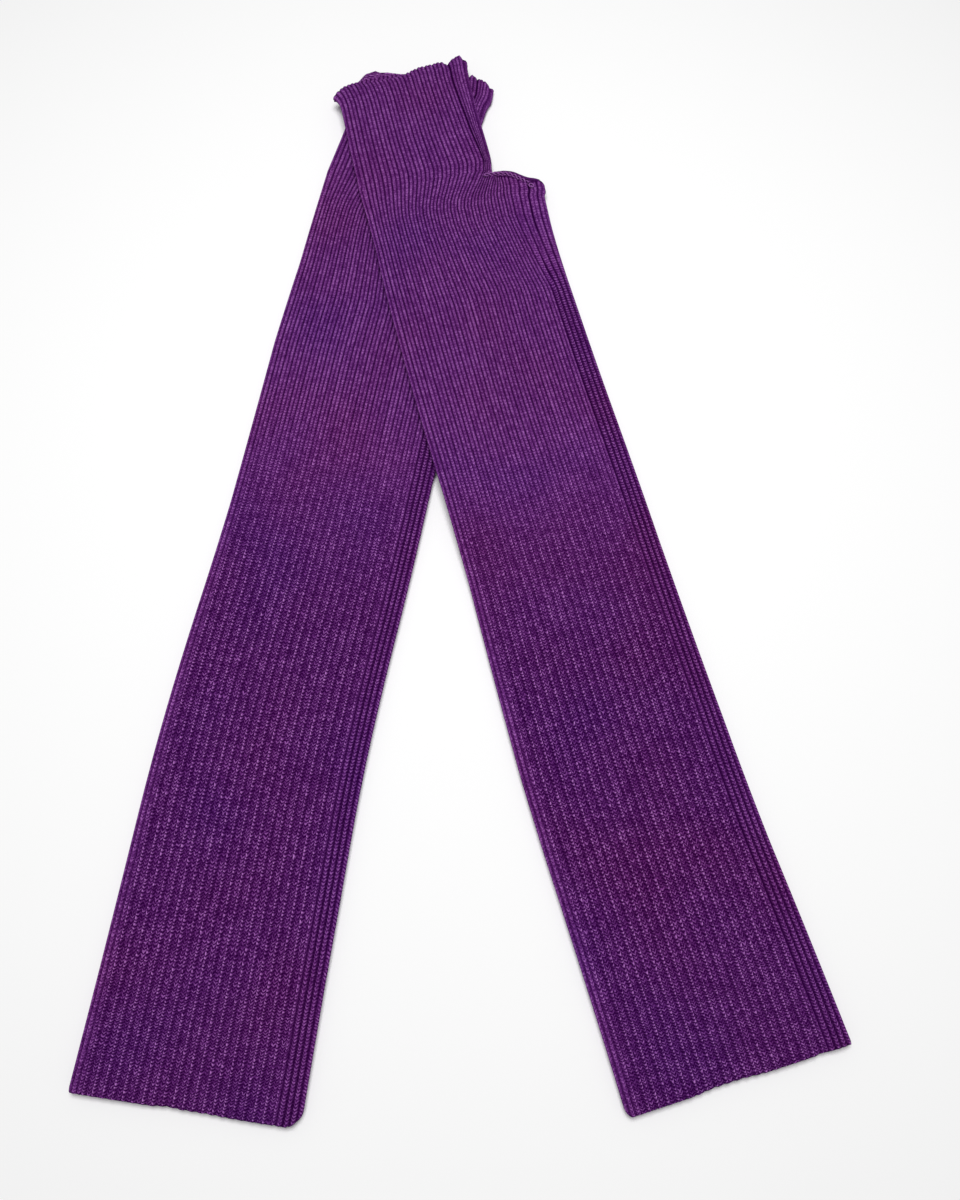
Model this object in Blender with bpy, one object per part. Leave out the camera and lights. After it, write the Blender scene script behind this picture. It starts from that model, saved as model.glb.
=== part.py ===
"""Pair of rib-knit arm warmers, laid flat on a surface and crossed near the hands.

Each arm warmer is one ribbed panel, folded lengthwise and sewn along the thumb side. It is a
flattened tube, open at the arm end, at the hand end and at the thumb. The lower one lies flat.
The upper one crosses over it and sinks back to the surface beside it.

Along every arm warmer, u runs from the arm end (0) to the hand end, v runs across from the
fold side (negative) to the seam side (positive), and z is the height above the surface.
"""
import math

import bmesh
import bpy
import numpy as np

MM = 0.001

# Driving sizes of one arm warmer
LENGTH = 444 * MM
THUMB_STATION = 380 * MM
BACK_WALL = 1.5 * MM
INNER_GAP = 0.8 * MM
FRONT_WALL = 1.3 * MM
RIB_HEIGHT = 0.7 * MM
CLEARANCE = 0.3 * MM

# Ribs: two wales side by side, then a deep groove. One rib of the 25 lies round each side, so
# the front carries the borders FIRST_RIB to LAST_RIB, and the hand part's ends at HAND_RIBS.
FIRST_RIB = 1
LAST_RIB = 24
HAND_RIBS = 17
GROOVE_RIB = 15
TIGHT_RIBS = 3
TIGHT_SHARE = 0.39
TIGHT_ROUNDING = 0.5
RIB_PHASES = (0.0, 0.27, 0.5, 0.73)
RIB_LEVELS = (0.0, 1.0, 0.62, 1.0)

# Rib borders that carry a column on the plain back and on the plain inner faces. The hand's
# seam wall stands between the borders SEAM_WALL_RIB and HAND_RIBS.
SEAM_WALL_RIB = 16.4
PLAIN_BORDERS = (1, 3, 5, 7, 9, 11, 13, 15, SEAM_WALL_RIB, HAND_RIBS, 19, 21, 22.5, LAST_RIB)

# Derived heights and radii
INNER_FLOOR = BACK_WALL
INNER_ROOF = BACK_WALL + INNER_GAP
FRONT_BASE = INNER_ROOF + FRONT_WALL
TUBE_HEIGHT = FRONT_BASE + RIB_HEIGHT
SIDE_RADIUS = TUBE_HEIGHT / 2
SIDE_ANGLES = (45, 0, -45)
SIDE_STEPS = (0.25, 0.5, 0.75)
VALLEY_WIDTH = 1.3 * MM

# The upper arm warmer over the lower one
LIFT = TUBE_HEIGHT + CLEARANCE
LIFT_MARGIN = 2.5 * MM
LIFT_RAMP = 26 * MM

# Small forms at the ends
SCALLOP = 0.6 * MM
SCALLOP_MEAN = 0.6
HAND_END_REACH = 16 * MM
SHELF_REACH = 24 * MM
REGATHER_START = 20 * MM
REGATHER_LENGTH = 26 * MM
REGATHER_RIBS = 4
SEAM_ROUNDING = 9 * MM
SEAM_WALL = 2.2 * MM
CHAIN_RADIUS = 0.7 * MM
CHAIN_GAP = 0.05 * MM
CHAIN_SHARE = 0.93
CHAIN_POINTS = 20

# Thumb's edge: v, and how far the front and the back layer end below THUMB_STATION
SHELF = ((17.5, 0.0, 0.0), (19.0, 2.6, 0.3), (20.8, 4.5, 0.6), (25.2, 5.2, 0.2), (28.6, 7.0, 1.1),
         (31.3, 9.0, 3.8), (34.5, 9.7, 6.0), (37.5, 8.6, 6.4), (39.5, 8.4, 7.2), (41.3, 11.0, 11.0))

COLLECTION_NAME = "knitted_arm_warmers"
LINE_STEP = 1 * MM
LINE_STEPS_BEYOND = 8
OUTLINE_SLEEVE_POINTS = 24
OUTLINE_HAND_POINTS = 12
SHARP_ANGLE = 40

# Where the pair lies, in millimetres from the arm end unless a column says otherwise.
# heading: distance, lean from +Y towards +X in degrees
# sides, hand: distance, fold edge and seam edge of the sleeve or hand part from the centre line
# corners: radius at the fold side and at the seam side of the arm end
# seam_valley, hand_valley: distance, how far inside the seam edge it runs, depth
# hand_end: v, how far the front and the back layer reach past the nominal length
# stations: distance from, distance to, number of sections
UPPER = {
    "name": "upper_arm_warmer",
    "chain": "upper_thumb_edge",
    "start": (91.7 * MM, -211.45 * MM),
    "heading": ((0, -16.5), (60, -17.4), (110, -15.4), (180, -14.4), (250, -15.8),
                (310, -14.6), (350, -12.2), (385, -12.6), (444, -15.5)),
    "sides": ((0, 39.6, 39.2), (70, 39.2, 38.4), (115, 39.6, 38.4), (190, 38.8, 37.8),
              (240, 39.4, 38.0), (300, 39.4, 38.6), (346, 39.2, 38.8), (366, 39.8, 39.4),
              (371, 40.2, 40.5), (380, 40.6, 40.9)),
    "hand": ((380, 40.6, 20.0), (390, 40.6, 20.1), (404, 40.5, 20.0), (420, 39.9, 20.6),
             (430, 39.5, 21.2), (436, 39.9, 21.9), (440, 40.6, 22.7), (444, 41.8, 23.0)),
    "corners": (4 * MM, 2.5 * MM),
    "seam_valley": ((0, 7.5, 0.55), (200, 8.5, 0.6), (330, 9.0, 0.5), (380, 9.0, 0.3)),
    "hand_valley": ((380, 3.0, 0.0), (384, 3.2, 0.6), (400, 4.8, 0.8), (444, 8.6, 0.9)),
    "hand_end": ((-42, -6.0, -6.0), (-39, -3.7, -3.7), (-36, -2.0, -2.2), (-31, -1.1, -1.6),
                 (-21, -2.4, -2.4), (-12, -3.1, -2.8), (-8, -2.6, -2.2), (0, -0.3, -0.5),
                 (11, -0.1, -0.3), (13.7, -1.6, -1.2), (17.7, 0.8, 0.4), (20.8, 2.4, 1.8),
                 (22, -3.1, -2.6), (23.5, -6.4, -5.4)),
    "stations": ((0, 228, 8), (240, 350, 11), (359, 380, 4), (386, 400, 3), (410, 430, 3),
                 (436, 444, 3)),
}
LOWER = {
    "name": "lower_arm_warmer",
    "chain": "lower_thumb_edge",
    "start": (-90.2 * MM, -220.45 * MM),
    "heading": ((0, 8.2), (90, 7.7), (130, 10.2), (170, 12.0), (215, 10.6),
                (300, 10.2), (360, 12.2), (400, 12.6), (444, 9.5)),
    "sides": ((0, 39.0, 38.4), (40, 38.8, 38.0), (130, 38.6, 38.2), (215, 38.4, 38.6),
              (290, 39.6, 39.0), (330, 38.8, 39.8), (380, 39.8, 40.9)),
    "hand": ((380, 39.8, 21.6), (400, 38.6, 21.4), (420, 37.8, 21.8), (430, 38.4, 22.6),
             (436, 39.5, 24.0), (444, 40.8, 23.8)),
    "corners": (2 * MM, 7 * MM),
    "seam_valley": ((0, 8.0, 0.35), (200, 8.5, 0.4), (380, 9.0, 0.3)),
    "hand_valley": ((380, 3.0, 0.0), (384, 3.2, 0.4), (400, 4.8, 0.6), (444, 8.0, 0.7)),
    "hand_end": ((-41, -10.2, -9.2), (-38.2, -9.4, -1.4), (-36.6, -7.5, -0.6), (-34, -6.3, 1.2),
                 (-31.8, -5.7, 0.5), (-28, -4.1, 1.2), (-23.6, -2.0, 1.2), (-19.8, -1.7, 1.4),
                 (0, -0.2, 0.3), (11, 1.6, 1.4), (13.2, 3.2, 2.6), (16, 2.0, 1.6),
                 (20, 0.0, -0.2), (22.8, -3.0, -3.0), (24, -5.6, -5.2)),
    "stations": ((0, 350, 12), (359, 380, 4), (386, 400, 3), (410, 430, 3), (436, 444, 3)),
}

KNIT = ("purple_rib_knit", (0.118, 0.022, 0.150, 1.0), 0.92)
CHAIN = ("purple_cast_off_yarn", (0.150, 0.035, 0.185, 1.0), 0.88)


def clear_scene():
    """Remove every object of the open file."""
    for old in list(bpy.data.objects):
        bpy.data.objects.remove(old, do_unlink=True)


def column(rows, distance, index):
    """Read one column of a table in millimetres at the given distances, in metres."""
    table = np.array(rows, float)
    return np.interp(distance, table[:, 0] * MM, table[:, index])


def smooth(value):
    """Ease from 0 to 1 with no slope at either end."""
    t = np.clip(value, 0.0, 1.0)
    return t * t * (3 - 2 * t)


def centre_line(warmer):
    """Walk along the headings and return distance, x, y and heading on a fine line."""
    distance = np.arange(0, LENGTH + LINE_STEP * LINE_STEPS_BEYOND, LINE_STEP)
    heading = np.radians(column(warmer["heading"], distance, 1))
    x = warmer["start"][0] + np.concatenate([[0], np.cumsum(np.sin(heading[:-1]) * LINE_STEP)])
    y = warmer["start"][1] + np.concatenate([[0], np.cumsum(np.cos(heading[:-1]) * LINE_STEP)])
    return distance, x, y, heading


def on_surface(warmer, u, v):
    """Turn distances along and across an arm warmer into x and y."""
    distance, line_x, line_y, line_heading = centre_line(warmer)
    heading = np.interp(u, distance, line_heading)
    x = np.interp(u, distance, line_x) + v * np.cos(heading)
    y = np.interp(u, distance, line_y) - v * np.sin(heading)
    return x, y


def outline(warmer):
    """The arm warmer's edge on the surface, as a closed polygon."""
    sleeve = np.linspace(0, THUMB_STATION, OUTLINE_SLEEVE_POINTS)
    hand = np.linspace(THUMB_STATION, LENGTH + 2 * SCALLOP, OUTLINE_HAND_POINTS)
    fold_u = np.concatenate([sleeve, hand])
    fold_v = -np.concatenate([column(warmer["sides"], sleeve, 1), column(warmer["hand"], hand, 1)])
    seam_v = np.concatenate([column(warmer["sides"], sleeve, 2), column(warmer["hand"], hand, 2)])
    u = np.concatenate([fold_u, fold_u[::-1]])
    v = np.concatenate([fold_v, seam_v[::-1]]) * MM
    return np.stack(on_surface(warmer, u, v), axis=1)


def distance_outside(points, polygon):
    """How far each point lies outside a closed polygon, and 0 inside it."""
    start = polygon[None, :, :]
    end = np.roll(polygon, -1, axis=0)[None, :, :]
    edge = end - start
    to_point = points[:, None, :] - start
    along = (to_point * edge).sum(2) / np.maximum((edge * edge).sum(2), 1e-12)
    nearest = to_point - edge * np.clip(along, 0, 1)[:, :, None]
    gap = np.sqrt((nearest ** 2).sum(2)).min(1)
    py = points[:, None, 1]
    crosses = (start[:, :, 1] > py) != (end[:, :, 1] > py)
    rise = np.where(edge[:, :, 1] == 0, 1e-12, edge[:, :, 1])
    crossing_x = start[:, :, 0] + (py - start[:, :, 1]) / rise * edge[:, :, 0]
    inside = (crosses & (points[:, None, 0] < crossing_x)).sum(1) % 2 == 1
    return np.where(inside, 0.0, gap)


def place(warmer, over, u, v, z):
    """World points of a section, raised where the arm warmer lies over another."""
    x, y = on_surface(warmer, u, v)
    if over is not None:
        beyond = distance_outside(np.stack([x, y], axis=1), over) - LIFT_MARGIN
        z = z + LIFT * (1 - smooth(beyond / LIFT_RAMP))
    return np.stack([x, y, z], axis=1)


def tighten(rib):
    """Distance of a rib border in rib widths: even ribs, then narrow ones at the seam side."""
    past = rib - (LAST_RIB - TIGHT_RIBS)
    return rib - TIGHT_SHARE * (past + np.sqrt(past ** 2 + TIGHT_ROUNDING ** 2)) / 2


def across(warmer, u, ribs, inset):
    """v of rib borders across a panel whose flat face ends inset from both edges.

    The hand part's ribs are even up to the groove beside its seam. Near the thumb the sleeve's
    ribs draw towards them.
    """
    fold, seam = (column(warmer["sides"], u, i) * MM for i in (1, 2))
    share = (tighten(ribs) - tighten(FIRST_RIB)) / (tighten(LAST_RIB) - tighten(FIRST_RIB))
    sleeve_v = -fold + inset + (fold + seam - 2 * inset) * share
    fold, seam = (column(warmer["hand"], u, i) * MM for i in (1, 2))
    groove = column(warmer["hand_valley"], u, 1) * MM
    before = (fold + seam - groove - inset) * (ribs - FIRST_RIB) / (GROOVE_RIB - FIRST_RIB)
    end_inset = inset * smooth((u - THUMB_STATION) / SEAM_ROUNDING)
    after = (groove - end_inset) * (ribs - GROOVE_RIB) / (HAND_RIBS - GROOVE_RIB)
    hand_v = np.where(ribs < GROOVE_RIB, -fold + inset + before, seam - groove + after)
    gather = smooth((u - THUMB_STATION + REGATHER_START) / REGATHER_LENGTH)
    gather = gather * smooth((HAND_RIBS + REGATHER_RIBS - ribs) / REGATHER_RIBS)
    return sleeve_v + (hand_v - sleeve_v) * gather


def front_heights(warmer, u, v, ribs, hand):
    """Rib relief of the front, lowered in the lengthwise valley beside the seam."""
    level = np.interp(ribs % 1.0, RIB_PHASES + (1.0,), RIB_LEVELS + (0.0,))
    last = HAND_RIBS if hand else LAST_RIB
    level[(ribs == FIRST_RIB) | (ribs == last)] = RIB_LEVELS[2]
    rows = warmer["hand_valley"] if hand else warmer["seam_valley"]
    edge = column(warmer["hand"] if hand else warmer["sides"], u, 2) * MM
    inside = column(rows, u, 1) * MM
    depth = column(rows, u, 2) * MM
    valley = depth * np.exp(-((edge - v - inside) / VALLEY_WIDTH) ** 2)
    return FRONT_BASE + RIB_HEIGHT * level - valley


def side_points(edge, bulge):
    """Three points round a folded side, which bulges out to its edge, as v and z."""
    angle = np.radians(SIDE_ANGLES)
    return edge - bulge * (1 - np.cos(angle)), SIDE_RADIUS * (1 + np.sin(angle))


def sections(warmer, u, hand):
    """Outer and inner section at one station: u, v, z and the order round the tube.

    The order counts rib borders from the fold side over the front, one step round the seam
    side, back over the underside and one step round the fold side.
    """
    last = HAND_RIBS if hand else LAST_RIB
    ribs = np.arange(FIRST_RIB, last)[:, None] + np.array(RIB_PHASES)[None, :]
    ribs = np.append(ribs.ravel(), last)
    borders = np.array([b for b in PLAIN_BORDERS if b <= last], float)
    inner_last = SEAM_WALL_RIB if hand else LAST_RIB
    inner = np.array([b for b in PLAIN_BORDERS if b <= inner_last], float)

    front_v = across(warmer, u, ribs, SIDE_RADIUS)
    front_z = front_heights(warmer, u, front_v, ribs, hand)
    back_v = across(warmer, u, borders[::-1], SIDE_RADIUS)
    seam_bulge = SIDE_RADIUS * (smooth((u - THUMB_STATION) / SEAM_ROUNDING) if hand else 1.0)
    seam_v, seam_z = side_points(front_v[-1] + seam_bulge, seam_bulge)
    fold_v, fold_z = side_points(front_v[0] - SIDE_RADIUS, -SIDE_RADIUS)
    outer = {
        "v": np.concatenate([front_v, seam_v, back_v, fold_v[::-1]]),
        "z": np.concatenate([front_z, seam_z, np.zeros(len(back_v)), fold_z[::-1]]),
        "order": np.concatenate([ribs, last + np.array(SIDE_STEPS), 2 * last + 1 - borders[::-1],
                                 2 * last + 1 + np.array(SIDE_STEPS)]),
    }
    inner_v = across(warmer, u, inner, BACK_WALL)
    if hand:
        inner_v[-1] = column(warmer["hand"], u, 2) * MM - SEAM_WALL
    roof = np.full(len(inner), INNER_ROOF)
    floor = np.full(len(inner), INNER_FLOOR)
    inside = {
        "v": np.concatenate([inner_v, inner_v[::-1]]),
        "z": np.concatenate([roof, floor]),
        "order": np.concatenate([inner, 2 * last + 1 - inner[::-1]]),
    }
    for section in (outer, inside):
        section["u"] = np.full(len(section["v"]), u)
    return outer, inside


def strip(first, first_order, second, second_order):
    """Triangles between two rows of vertices with unlike counts."""
    faces = []
    i = 0
    j = 0
    while i < len(first) - 1 or j < len(second) - 1:
        next_first = first_order[i + 1] if i < len(first) - 1 else math.inf
        next_second = second_order[j + 1] if j < len(second) - 1 else math.inf
        if next_first <= next_second:
            faces.append((first[i], first[i + 1], second[j]))
            i += 1
        else:
            faces.append((first[i], second[j + 1], second[j]))
            j += 1
    return faces


def loft(rings):
    """Quads between successive closed rings of like counts."""
    faces = []
    for low, high in zip(rings[:-1], rings[1:]):
        for a in range(len(low)):
            b = (a + 1) % len(low)
            faces.append((low[a], low[b], high[b], high[a]))
    return faces


def close_end(outer, outer_order, inner, inner_order):
    """The ring-shaped edge of the wall at an open end."""
    turn = outer_order[-1] + 1
    return strip(np.append(outer, outer[0]), np.append(outer_order, turn),
                 np.append(inner, inner[0]), np.append(inner_order, turn))


def arm_end(warmer, section):
    """Round the two corners of the arm end by moving its columns up the tube."""
    fold, seam = (float(column(warmer["sides"], 0, i)) * MM for i in (1, 2))
    v = section["v"]
    fold_corner, seam_corner = warmer["corners"]
    for reach, radius in ((v + fold, fold_corner), (seam - v, seam_corner)):
        inward = np.clip(radius - reach, 0, radius)
        section["u"] = section["u"] + radius - np.sqrt(radius ** 2 - inward ** 2)


def by_layer(rows, section):
    """Read a table's column 1 on the front layer and its column 2 on the back layer."""
    front, back = (column(rows, section["v"], i) * MM for i in (1, 2))
    return back + (front - back) * smooth((section["z"] - INNER_FLOOR) / INNER_GAP)


def hand_end(warmer, section, ribbed):
    """Scallop the hand end rib by rib over its uneven edge, which the last stations follow."""
    wave = np.abs(np.sin(np.pi * section["order"])) if ribbed else SCALLOP_MEAN
    near = smooth((section["u"] - LENGTH + HAND_END_REACH) / HAND_END_REACH)
    section["u"] = section["u"] + (by_layer(warmer["hand_end"], section) + SCALLOP * wave) * near


def thumb_shelf(section):
    """Let the last stations below the thumb follow its edge, layer by layer."""
    near = smooth((section["u"] - THUMB_STATION + SHELF_REACH) / SHELF_REACH)
    section["u"] = section["u"] - by_layer(SHELF, section) * near


def thumb_border(warmer):
    """v where the hand's seam meets the edge at the thumb, and v of the sleeve's seam edge."""
    corner = float(across(warmer, THUMB_STATION, np.array([float(HAND_RIBS)]), SIDE_RADIUS)[0])
    return corner, float(column(warmer["sides"], THUMB_STATION, 2)) * MM


def tube_mesh(warmer, over):
    """One arm warmer as a closed wall: the sleeve, the hand part and their open ends."""
    points = []

    def add(section):
        first = sum(len(block) for block in points)
        points.append(place(warmer, over, section["u"], section["v"], section["z"]))
        return np.arange(first, first + len(section["v"]))

    stations = np.concatenate([np.linspace(a, b, n) * MM for a, b, n in warmer["stations"]])
    sleeve_stations = stations[stations <= THUMB_STATION]
    hand_stations = stations[stations > THUMB_STATION]
    corner_v = thumb_border(warmer)[0]

    outer_rings = []
    inner_rings = []
    for u in sleeve_stations:
        outer, inner = sections(warmer, u, False)
        if u == 0:
            arm_end(warmer, outer)
            arm_end(warmer, inner)
        if u == sleeve_stations[-1]:
            inner["v"][inner["order"] == HAND_RIBS] = corner_v
            inner["v"][inner["order"] == 2 * LAST_RIB + 1 - HAND_RIBS] = corner_v
        thumb_shelf(outer)
        thumb_shelf(inner)
        outer_rings.append(add(outer))
        inner_rings.append(add(inner))
    faces = loft(outer_rings) + [face[::-1] for face in loft(inner_rings)]
    outer, inner = sections(warmer, 0.0, False)
    faces += close_end(outer_rings[0], outer["order"], inner_rings[0], inner["order"])

    # Split at the thumb: columns up to the hand's last rib go on, the others end in a rim
    top = outer_rings[-1]
    top_in = inner_rings[-1]
    order = outer["order"]
    order_in = inner["order"]
    far = 2 * LAST_RIB + 1 - HAND_RIBS
    rim = (order >= HAND_RIBS) & (order <= far)
    rim_in = (order_in >= HAND_RIBS) & (order_in <= far)
    faces += [face[::-1] for face in strip(top[rim], order[rim], top_in[rim_in], order_in[rim_in])]

    roof_corner, floor_corner = top_in[rim_in][0], top_in[rim_in][-1]
    middle = add({"u": np.array([THUMB_STATION]), "v": np.array([corner_v]),
                  "z": np.array([INNER_FLOOR + INNER_GAP / 2])})[0]
    wall = (order_in >= SEAM_WALL_RIB) & (order_in <= 2 * LAST_RIB + 1 - SEAM_WALL_RIB)
    roof_wall, floor_wall = top_in[wall][0], top_in[wall][-1]
    faces.append((roof_wall, roof_corner, middle, floor_corner, floor_wall))
    front = top[order <= HAND_RIBS]
    back = top[(order >= far) & (order <= 2 * LAST_RIB + 1)]
    fold = top[order > 2 * LAST_RIB + 1]
    hand_outer = [np.concatenate([front, [roof_corner, middle, floor_corner], back, fold])]
    hand_inner = [np.concatenate([top_in[order_in <= SEAM_WALL_RIB],
                                  top_in[order_in >= 2 * LAST_RIB + 1 - SEAM_WALL_RIB]])]
    for u in hand_stations:
        outer, inner = sections(warmer, u, True)
        hand_end(warmer, outer, True)
        hand_end(warmer, inner, False)
        hand_outer.append(add(outer))
        hand_inner.append(add(inner))
    faces += loft(hand_outer) + [face[::-1] for face in loft(hand_inner)]
    faces += [face[::-1] for face in close_end(hand_outer[-1], outer["order"],
                                               hand_inner[-1], inner["order"])]
    return np.concatenate(points), faces


def rim_drop(warmer, v, layer, ribs):
    """How far a layer's rim lies below THUMB_STATION at v, straight between rib borders."""
    rim_v = across(warmer, THUMB_STATION, ribs, SIDE_RADIUS)
    return np.interp(v, rim_v, column(SHELF, rim_v, layer)) * MM


def chain_side(warmer, layer, z):
    """The cast-off edge along one layer of the thumb opening, a clearance off the further of
    its ribbed and its plain rim."""
    start, end = thumb_border(warmer)
    v = np.linspace(start, start + (end - start) * CHAIN_SHARE, CHAIN_POINTS)
    ribbed = np.linspace(HAND_RIBS, LAST_RIB, CHAIN_POINTS)
    plain = np.array([border for border in PLAIN_BORDERS if border >= HAND_RIBS])
    u = THUMB_STATION - np.minimum(rim_drop(warmer, v, layer, ribbed), rim_drop(warmer, v, layer, plain))
    reach = CLEARANCE + CHAIN_RADIUS
    slope = np.gradient(u, v)
    length = np.sqrt(1 + slope ** 2)
    v_off = v - slope / length * reach
    v_off[0] += reach
    return np.stack([u + reach / length, v_off, np.full(CHAIN_POINTS, z)])


def chain_path(warmer, over):
    """The cast-off edge's middle line: along the front of the thumb opening, down at the
    sleeve's seam side, back along the back, which reaches further, and up beside the hand."""
    front = chain_side(warmer, 1, (INNER_ROOF + TUBE_HEIGHT) / 2)
    back = chain_side(warmer, 2, CHAIN_RADIUS + CHAIN_GAP)
    seam_corner, hand_corner = (np.array([[back[0, i]], [front[1, i]], [front[2, i]]]) for i in (-1, 0))
    u, v, z = np.concatenate([front, seam_corner, back[:, ::-1], hand_corner], axis=1)
    return place(warmer, over, u, v, z)


def make_chain(warmer, over, material, collection):
    """The cast-off edge as a closed round cord."""
    path = chain_path(warmer, over)
    curve = bpy.data.curves.new(warmer["chain"], "CURVE")
    curve.dimensions = "3D"
    curve.bevel_depth = CHAIN_RADIUS
    curve.bevel_resolution = 2
    spline = curve.splines.new("POLY")
    spline.points.add(len(path) - 1)
    for point, at in zip(spline.points, path):
        point.co = (*at, 1.0)
    spline.use_cyclic_u = True
    curve.materials.append(material)
    collection.objects.link(bpy.data.objects.new(warmer["chain"], curve))


def knit_material(spec):
    """A matte yarn material: name, base colour and roughness."""
    name, colour, roughness = spec
    material = bpy.data.materials.new(name)
    material.use_nodes = True
    shader = material.node_tree.nodes["Principled BSDF"]
    shader.inputs["Base Color"].default_value = colour
    shader.inputs["Roughness"].default_value = roughness
    shader.inputs["Metallic"].default_value = 0.0
    return material


def make_object(name, points, faces, material, collection):
    """Put points and faces into a named object with its material."""
    mesh = bpy.data.meshes.new(name)
    mesh.from_pydata([tuple(map(float, p)) for p in points], [], [tuple(map(int, f)) for f in faces])
    mesh.materials.append(material)
    shape = bmesh.new()
    shape.from_mesh(mesh)
    bmesh.ops.recalc_face_normals(shape, faces=shape.faces)
    if shape.calc_volume(signed=True) < 0:
        bmesh.ops.reverse_faces(shape, faces=shape.faces)
    shape.to_mesh(mesh)
    shape.free()
    mesh.shade_smooth()
    mesh.set_sharp_from_angle(angle=math.radians(SHARP_ANGLE))
    collection.objects.link(bpy.data.objects.new(name, mesh))


def main():
    clear_scene()
    collection = bpy.data.collections.new(COLLECTION_NAME)
    bpy.context.scene.collection.children.link(collection)
    knit = knit_material(KNIT)
    cast_off = knit_material(CHAIN)
    for warmer, over in ((LOWER, None), (UPPER, outline(LOWER))):
        points, faces = tube_mesh(warmer, over)
        make_object(warmer["name"], points, faces, knit, collection)
        make_chain(warmer, over, cast_off, collection)


main()
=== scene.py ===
"""A pair of rib-knit arm warmers, laid flat and crossed near the hands.

Each arm warmer is a flattened tube of two-by-two rib, open at the arm end, at the hand end and at
the thumb. Along it, u runs from the arm end to the hand end and v runs across from the fold side
(negative) to the seam side (positive). The rib coordinate counts ribs round the tube: 0 at the
fold, up over the front to the seam, and back underneath.
"""
import math

import bmesh
import bpy
import numpy as np
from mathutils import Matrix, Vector


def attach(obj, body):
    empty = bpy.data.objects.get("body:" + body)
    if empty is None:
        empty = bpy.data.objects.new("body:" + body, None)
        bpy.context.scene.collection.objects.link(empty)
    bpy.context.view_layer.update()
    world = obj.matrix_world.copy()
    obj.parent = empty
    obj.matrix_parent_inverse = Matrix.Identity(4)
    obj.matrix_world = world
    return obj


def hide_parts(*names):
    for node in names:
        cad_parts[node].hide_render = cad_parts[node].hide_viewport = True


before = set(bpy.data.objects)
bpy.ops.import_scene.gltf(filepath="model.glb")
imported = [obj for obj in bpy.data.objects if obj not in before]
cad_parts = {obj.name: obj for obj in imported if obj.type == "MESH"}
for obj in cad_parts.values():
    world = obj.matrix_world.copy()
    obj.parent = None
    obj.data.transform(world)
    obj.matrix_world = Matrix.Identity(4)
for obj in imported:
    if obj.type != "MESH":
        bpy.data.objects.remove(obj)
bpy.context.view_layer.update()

bl_info = {
    "name": "Knitted Arm Warmers",
    "version": (1, 0, 0),
    "blender": (4, 5, 0),
    "location": "View3D > Sidebar > Knitting",
    "description": "Builds a pair of rib-knit arm warmers, laid flat and crossed",
    "category": "Add Mesh",
}

MM = 0.001
TINY = 1e-9
HALF_RIB = 0.5

# Ribs on one face: the sleeve's, and the hand part's up to the thumb opening
SLEEVE_RIBS = 25
HAND_RIBS = 17
SEAM_WALL_RIB = 16.35
GROOVE_RIB = 15
# The last ribs before the seam lie tight. Distance, and how much narrower than the others they
# are; distance, and how far the two wales of each are pressed into one ridge
TIGHT_RIBS = 4
TIGHT_SHARE = ((0, 0.39), (315, 0.39), (352, -0.30), (444, -0.30))
TIGHT_ROUNDING = 0.5
PRESSED_SHARE = ((0, 1.0), (310, 1.0), (345, 0.18), (444, 0.18))
# The ribs between the groove and the hand's seam lie halfway to this share of their height
STRIP_LEVEL = 0.85

# Rib section: phase, height where the ribs lie closed, height where they lie stretched open and
# lean over towards the fold side
RIB_SECTION = (
    (0, 0, 0.42), (0.06, 0.42, 0.2), (0.14, 0.84, 0), (0.22, 1, 0.45),
    (0.31, 0.97, 1), (0.4, 0.7, 1), (0.46, 0.4, 0.8), (0.5, 0.32, 0.52),
    (0.54, 0.4, 0.45), (0.6, 0.7, 0.52), (0.69, 0.97, 0.55), (0.78, 1, 0.48),
    (0.86, 0.84, 0.42), (0.94, 0.42, 0.44), (1, 0, 0.42),
)
# Where the front's and the back's columns of points lie in a rib
FRONT_PHASES = [phase for phase, _, _ in RIB_SECTION if phase not in (0.5, 1)]
BACK_PHASES = (0.0, 0.12, 0.28, 0.5, 0.72, 0.88)

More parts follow.
